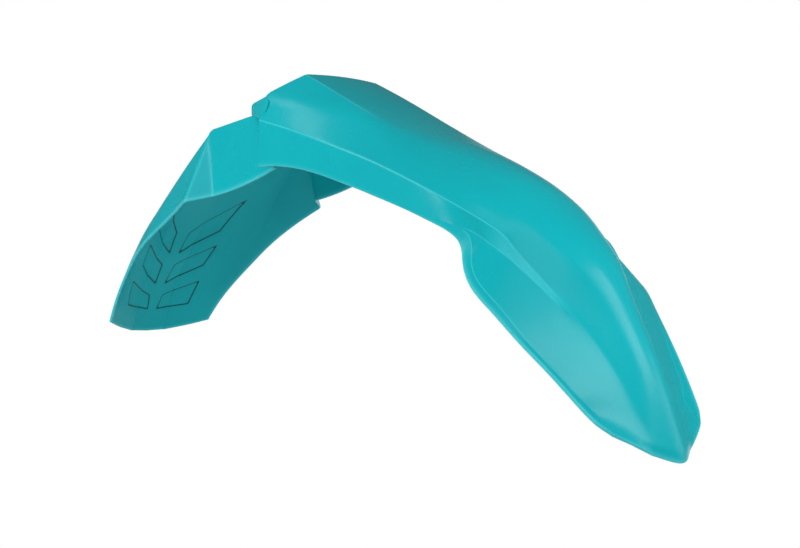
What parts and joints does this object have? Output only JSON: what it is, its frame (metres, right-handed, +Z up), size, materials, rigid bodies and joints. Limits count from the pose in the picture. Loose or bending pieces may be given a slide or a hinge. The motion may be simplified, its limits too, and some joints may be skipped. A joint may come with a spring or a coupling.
{
  "type": "motorcycle mudguard",
  "caption": "One-piece moulded front mudguard for an off-road motorcycle: creased body, winged nose with pockets, bolted neck platform and rear flap.",
  "frame": {"origin": "centre of the four-hole bolt pattern, on the top face of the mounting platform", "axes": "+X forward to the nose, +Y to the left, +Z up, square to the platform"},
  "size_m": [0.7625, 0.2362, 0.3544],
  "materials": {
    "shell": "teal polypropylene with a satin-gloss moulded surface, coloured through"
  },
  "bodies": {
    "root": {"mudguard": "shell"}
  },
  "joints": []
}
